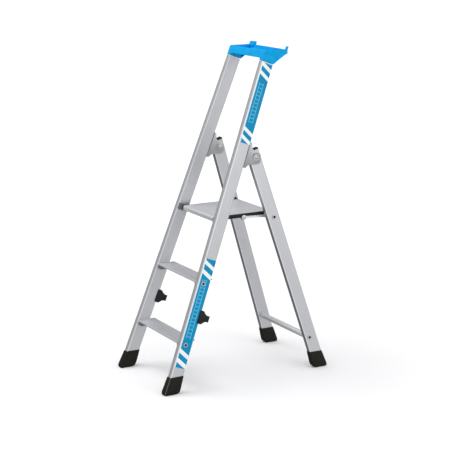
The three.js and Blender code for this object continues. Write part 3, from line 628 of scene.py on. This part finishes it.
front, rear, top, half = DECK["front"], DECK["rear"], DECK["top"], DECK["half"]
low = top - 20
outline = arc(front + 3, low + 3, 3, 180, 270, 4) + [(front + 22, low), (front + 22, top - 2.5)]
outline += underside(rear, front + 22, top - 2.5, top - 16, 7, 2)[::-1]
outline += [(rear - 2, top - 2.5), (rear - 2, top - 16), (rear, top - 16)]
outline += arc(rear - 3, top - 3, 3, 0, 90, 4)
outline += grooves(rear - 6, front + 14, top, 4.2, 1.4, 0.55)
outline += arc(front + 8, top - 8, 8, 90, 180, 8)
outline += [(front, top - 11), (front + 1.2, top - 11.6), (front + 1.2, top - 12.6), (front, top - 13.2)]
bm = bmesh.new()
prism(bm, outline, lambda y, z: -half, lambda y, z: half)
deck = piece("platform_plank", bm, LADDER, deck_metal, "platform", ["platform_deck"])
bm = bmesh.new()
hollow = [(front + 3, low + 2.5), (front + 19.5, low + 2.5), (front + 19.5, top - 3.5)]
hollow += [(front + 5, top - 3.5), (front + 3, top - 8)]
prism(bm, hollow, lambda y, z: -half - 5, lambda y, z: half + 5)
bm.transform(LADDER)
carve(deck, bm)

# ---------------------------------------------------------------- CAD nodes that keep their shape
for s, sign in SIDES:
    finish_node(f"front_foot_{s}", front_foot_rubber[s], 1.6, 3, 40)
    finish_node(f"rear_foot_{s}", foot_rubber, 1.6, 3, 40)
    finish_node(f"storage_clip_{s}", black_plastic, 0.7)
    finish_node(f"leg_plug_{s}", black_plastic, 0.5)
    finish_node(f"deck_end_cap_{s}", black_plastic, 0.6)
    finish_node(f"platform_pivot_{s}", black_plastic, 0.4)
    finish_node(f"leg_buffer_{s}", foot_rubber, 0.5)
    finish_node(f"hinge_bracket_{s}", bracket_metal, 0.4)
    finish_node(f"hinge_pin_{s}", rivet_metal, 0.3)
    finish_node(f"platform_bracket_{s}", grey_plastic, 0.6)
    finish_node(f"side_link_{s}", link_metal, 0.5)
    finish_node(f"link_elbow_pin_{s}", rivet_metal, 0.3)
    for name in ("clip_rivet", "bracket_rivet_upper", "bracket_rivet_lower"):
        finish_node(f"{name}_{s}", rivet_metal, 0.2)
    for name in ("step_rivet_1", "step_rivet_2", "brace_rivet", "link_rivet"):
        finish_node(f"{name}_{s}", rivet_metal, 0.25)
    for name in ("step_shoe_1", "step_shoe_2"):
        finish_node(f"{name}_{s}", grey_plastic, 0.5)
finish_node("rear_brace", brace_metal, 0.3)

# ---------------------------------------------------------------- small fittings
def disc(name, at, profile, sign, material, body, sides=40):
    """A turned disc whose axis runs along X; profile lists (x, radius) from the inside outwards."""
    bm = bmesh.new()
    rings = []
    for x, radius in profile:
        rings.append([bm.verts.new((
            x, at[0] + radius * cos(2 * pi * i / sides), at[1] + radius * sin(2 * pi * i / sides),
        )) for i in range(sides)])
    for first, second in zip(rings, rings[1:]):
        for i in range(sides):
            bm.faces.new((first[i - 1], first[i], second[i], second[i - 1]))
    bm.faces.new(rings[0])
    bm.faces.new(rings[-1][::-1])
    return piece(name, bm, LADDER @ mirror(sign), material, body)


# Flat ring pressed round each hinge pin, with a thin black ring round it as painted shade of its groove,
# and near-black discs in the hollow rivets as painted shade of their bottoms.
BORES = (
    ("step_1", tread_port(STEP_TOPS[0]), stile_centre, STILE, "front_frame"),
    ("step_2", tread_port(STEP_TOPS[1]), stile_centre, STILE, "front_frame"),
    ("link", ANCHOR, leg_centre, LEG, "rear_frame"),
    ("brace", BRACE, leg_centre, LEG, "rear_frame"),
)
RING = (  # how far each point stands out from the bracket's boss, and its radius
    (0.2, 15.2), (1.5, 15.2), (2.1, 14.4), (2.1, 12.4), (0.9, 11.6),
    (0.9, 9.6), (1.7, 9.0), (1.7, 8.4), (0.2, 8.4),
)
# thin black ring just outside the pressed ring: painted shade of the groove round it
GROOVE_SHADE = ((0.1, 17.2), (0.35, 17.2), (0.35, 15.3), (0.1, 15.3))
boss_face = (
    stile_centre(*HINGE) + LEG["width"] / 2 + BRACKET["leg_gap"] + BRACKET["sheet"] + BRACKET["boss_rise"])
for s, sign in SIDES:
    for name, profile, material, slot in (
        ("hinge_ring", RING, rivet_metal, "rivet_metal"),
        ("hinge_groove_shade", GROOVE_SHADE, black_plastic, "black_plastic"),
    ):
        points = [(boss_face + out, radius) for out, radius in profile]
        disc(f"{name}_{s}", HINGE, points, sign, material, "front_frame")
    for name, at, centre, rail_size, body in BORES:
        face = centre(*at) + rail_size["width"] / 2
        disc(f"rivet_bore_{name}_{s}", at, [
            (face - 5.0, 0.4), (face - 5.0, 5.25), (face - 1.0, 5.25), (face - 1.0, 0.4),
        ], sign, painted_bore_shade, body, 24)

# ---------------------------------------------------------------- labels
for s, sign in SIDES:
    for part, (low, high) in LABEL.items():
        outer = STILE["width"] / 2 + 0.65
        bend, turn = STILE["depth"] - STILE["corner"], STILE["corner"] + 0.65
        section = [(outer, 3.6)] + arc(outer - turn, bend, turn, 0, 70, 6)
        section += arc(outer - turn, bend, turn - 0.3, 70, 0, 6) + [(outer - 0.3, 3.6)]
        bm = bmesh.new()
        lower, upper = ([bm.verts.new((x, d, z)) for x, d in section] for z in (low, high))
        bm.faces.new(lower)
        bm.faces.new(upper[::-1])
        for i in range(len(section)):
            bm.faces.new((lower[i - 1], lower[i], upper[i], upper[i - 1]))
        obj = piece(
            f"printed_label_{part}_{s}", bm, LADDER @ mirror(sign) @ STILE_POSE,
            label_materials[part, s], "front_frame", [f"label_{part}_{s}"])
        if part == "lower":
            ports = [tread_port(top) for top in STEP_TOPS]
            holes = [(RIVET_HOLE, stile_centre(*at) + 5, stile_centre(*at) + 25, *at) for at in ports]
            carve(obj, drill(holes, [], STILE_POSE, sign))

# ---------------------------------------------------------------- tool tray
def rounded(points, steps=4):
    """A closed outline with every corner (y, z, radius) rounded off."""
    result = []
    for i, (y, z, radius) in enumerate(points):
        here = Vector((y, z))
        before = (Vector(points[i - 1][:2]) - here).normalized()
        after = (Vector(points[(i + 1) % len(points)][:2]) - here).normalized()
        reach = radius / tan(before.angle(after) / 2)
        start, end = here + before * reach, here + after * reach
        for k in range(steps + 1):
            t = k / steps
            spot = start * (1 - t) ** 2 + here * 2 * t * (1 - t) + end * t ** 2
            result.append(tuple(spot))
    return result


def plank(outline, x0, x1, where=LADDER):
    bm = bmesh.new()
    prism(bm, outline, lambda y, z: x0, lambda y, z: x1)
    bm.transform(where)
    return bm


half, inner, wall = (TRAY[k] for k in ("half", "inner", "wall"))
floor_z, rim_z, rear_y = (TRAY[k] for k in ("floor", "rim", "rear"))
top_y = side_point(TRAY["front"], 0)[0]
skirt_y, skirt_z = side_point(TRAY["skirt"], 0)
seat_y, seat_z = side_point(STILE["high"] + GAP, 0)
heel_y, heel_z = side_point(STILE["high"] + GAP, STILE["depth"] + 1.5)
bm = bmesh.new()
prism(bm, rounded([
    (skirt_y, skirt_z, 1.5), (rear_y - 8, floor_z + 2.5, 3), (rear_y, floor_z + 5, 3),
    (rear_y + 2, rim_z, 1.3), (top_y + 1, rim_z, 3),
]), lambda y, z: 1 - half, lambda y, z: half - 1)
tray = piece("tray_moulding", bm, LADDER, blue_plastic, "front_frame", ["tool_tray"])
for sign in (1, -1):
    end = [(seat_y, seat_z), (heel_y, heel_z), (rear_y - 6, floor_z + 3), (rear_y + 3, floor_z + 5)]
    end += [(rear_y + 2.5, rim_z - 3), (rear_y, rim_z - 1), (rear_y - 6, rim_z - 1)]
    bow_y, bow_z = (rear_y + top_y) / 2 + 15, rim_z - 14
    for k in range(1, 9):
        t = k / 8
        end.append((
            (rear_y - 6) * (1 - t) ** 2 + bow_y * 2 * t * (1 - t) + (top_y + 22) * t ** 2,
            (rim_z - 1) * (1 - t) ** 2 + bow_z * 2 * t * (1 - t) + (rim_z - 0.5) * t ** 2,
        ))
    end += [(top_y + 6, rim_z - 0.4), (top_y + 2, rim_z - 1.4), (top_y - 0.2, rim_z - 4)]
    carve(tray, plank(end, inner * sign, half * sign), "UNION")
carve(tray, plank(rounded([
    (top_y + wall - 6, floor_z + wall, 3), (rear_y - 9, floor_z + wall + 2, 5),
    (rear_y - 1, rim_z + 40, 1), (top_y + wall + 15.5, rim_z + 40, 1),
]), wall - half, half - wall))
under_y, under_z = side_point(TRAY["skirt"], 4)
carve(tray, plank([
    (under_y, under_z - 30), (rear_y + 20, under_z - 30), (rear_y + 20, floor_z), (under_y + 2, floor_z),
], -inner, inner))
for sign in (1, -1):
    carve(tray, plank(rounded([
        (heel_y + 2, heel_z + 6, 1), (rear_y - 10, floor_z + 0.6, 2), (heel_y + 2, floor_z - 0.6, 1),
    ]), (inner - 1) * sign, (half - wall) * sign))
    # cuts away what stands out past the stile's outer face, on the stile's lean
    block = Matrix.Translation((62.7, 120, STILE["high"] + 17)) @ Matrix.Diagonal((100, 360, 34, 1))
    trim = bmesh.new()
    bmesh.ops.create_cube(trim, size=1, matrix=block)
    trim.transform(LADDER @ mirror(sign) @ STILE_POSE)
    carve(tray, trim)
hook_y, hook_z = TRAY["hook"], TRAY["hook_top"]
for x0, x1, length in ((0.5 - half, 35.5 - half, 14), (half - 6, half - 0.5, 10)):
    carve(tray, plank(rounded([
        (rear_y - length + 2, rim_z - 4, 0.5), (rear_y + 2.2, rim_z - 8, 0.5),
        (hook_y, hook_z, 1.5), (hook_y - length, hook_z, 1.5),
    ]), x0, x1), "UNION")
soften(tray, 0.9, 3, 30)

# ---------------------------------------------------------------- floor, light and camera
bm = bmesh.new()
bmesh.ops.create_grid(bm, x_segments=1, y_segments=1, size=30)
mesh = bpy.data.meshes.new("floor")
bm.to_mesh(mesh)
bm.free()
floor = bpy.data.objects.new("floor", mesh)
bpy.context.scene.collection.objects.link(floor)
floor_material, tree, shader = new_material("pale_floor")
shader.inputs["Base Color"].default_value = (0.93, 0.93, 0.94, 1)
shader.inputs["Roughness"].default_value = 0.9
shader.inputs["Specular IOR Level"].default_value = 0.0
place = add_node(tree, "ShaderNodeTexCoord").outputs["Object"]
distance = vector_maths(tree, "LENGTH", place, output="Value")
shader.inputs["Emission Color"].default_value = (1, 1, 1, 1)
tree.links.new(spread(tree, distance, 0.02, 0.3, 0.7, 4.0), shader.inputs["Emission Strength"])
mesh.materials.append(floor_material)
floor.visible_glossy = False
floor.visible_diffuse = False

world = bpy.data.worlds.new("studio")
world.use_nodes = True
bpy.context.scene.world = world
tree = world.node_tree
background = tree.nodes["Background"]
direction = add_node(tree, "ShaderNodeTexCoord").outputs["Generated"]
parts = add_node(tree, "ShaderNodeSeparateXYZ", {"Vector": direction})
# brighter from the right-hand side and from above, darker from the left and from below
level = maths(tree, "MULTIPLY_ADD", parts.outputs["X"], 0.36, 0.62)
level = maths(tree, "MULTIPLY_ADD", parts.outputs["Z"], 0.36, level)
level = maths(tree, "MULTIPLY_ADD", parts.outputs["Y"], -0.1, level)
seen = add_node(tree, "ShaderNodeLightPath").outputs["Is Camera Ray"]
sky = add_node(tree, "ShaderNodeMix", {0: seen, 2: level, 3: 1.0}, data_type="FLOAT").outputs[0]
tree.links.new(sky, background.inputs["Strength"])
background.inputs["Color"].default_value = (1, 1, 1, 1)


def area_light(name, place, aim, size, power):
    data = bpy.data.lights.new(name, "AREA")
    data.shape = "RECTANGLE"
    data.size, data.size_y = size
    data.energy = power
    lamp = bpy.data.objects.new(name, data)
    bpy.context.scene.collection.objects.link(lamp)
    lamp.location = place
    lamp.rotation_euler = (Vector(aim) - Vector(place)).to_track_quat("-Z", "Y").to_euler()
    return lamp


area_light("key_light", (-1.2, -1.6, 4.2), (0, 0.1, 0.3), (2.6, 2.6), 62)
area_light("side_light", (3.6, 1.8, 2.2), (0, 0, 0.6), (2.0, 2.4), 18)

camera_data = bpy.data.cameras.new("camera")
camera_data.lens = 107.3
camera_data.sensor_width = 36
camera = bpy.data.objects.new("camera", camera_data)
bpy.context.scene.collection.objects.link(camera)
camera.location = (5.0385, -2.4531 - DEPTH_CENTRE * MM, 1.9423)
camera.rotation_euler = (radians(76.79), 0, radians(60.01))
bpy.context.scene.camera = camera
bpy.context.scene.view_settings.view_transform = "Standard"
